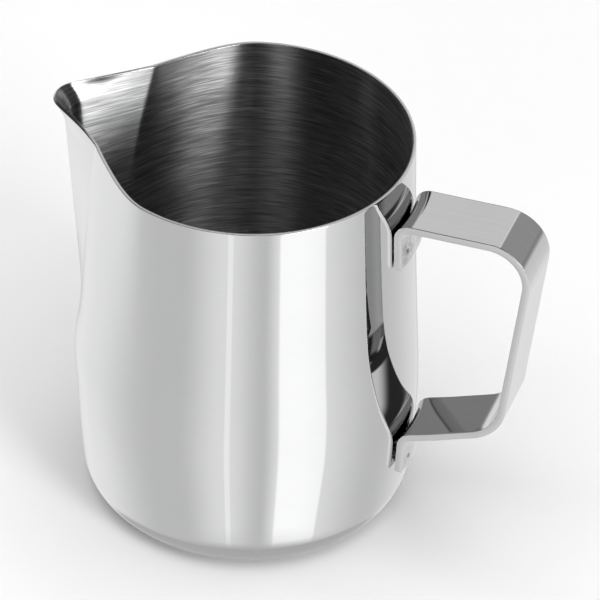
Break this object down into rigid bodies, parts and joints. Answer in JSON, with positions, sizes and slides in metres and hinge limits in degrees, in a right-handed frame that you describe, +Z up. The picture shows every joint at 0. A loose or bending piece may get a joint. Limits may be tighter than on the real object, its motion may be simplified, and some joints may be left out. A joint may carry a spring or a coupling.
{
  "type": "milk frothing pitcher",
  "caption": "Open stainless steel milk frothing jug with a pinched pouring spout opposite a flat strap handle welded to its wall.",
  "frame": {"origin": "where the body's axis meets the surface the pitcher stands on: the centre of the flat base", "axes": "+Z up along the body's axis, +X towards the handle, -X towards the pouring spout"},
  "size_m": [0.1332, 0.091, 0.111],
  "materials": {
    "polished_steel": "mirror-polished stainless steel outside, brushed round the inside",
    "strap_steel": "polished stainless steel strip with plain cut edges",
    "weld_steel": "matte resistance weld"
  },
  "bodies": {
    "root": {"body_shell": "polished_steel", "handle_strap": "strap_steel", "spot_weld_upper_left": "weld_steel", "spot_weld_upper_right": "weld_steel", "spot_weld_lower_left": "weld_steel", "spot_weld_lower_right": "weld_steel"}
  },
  "joints": []
}
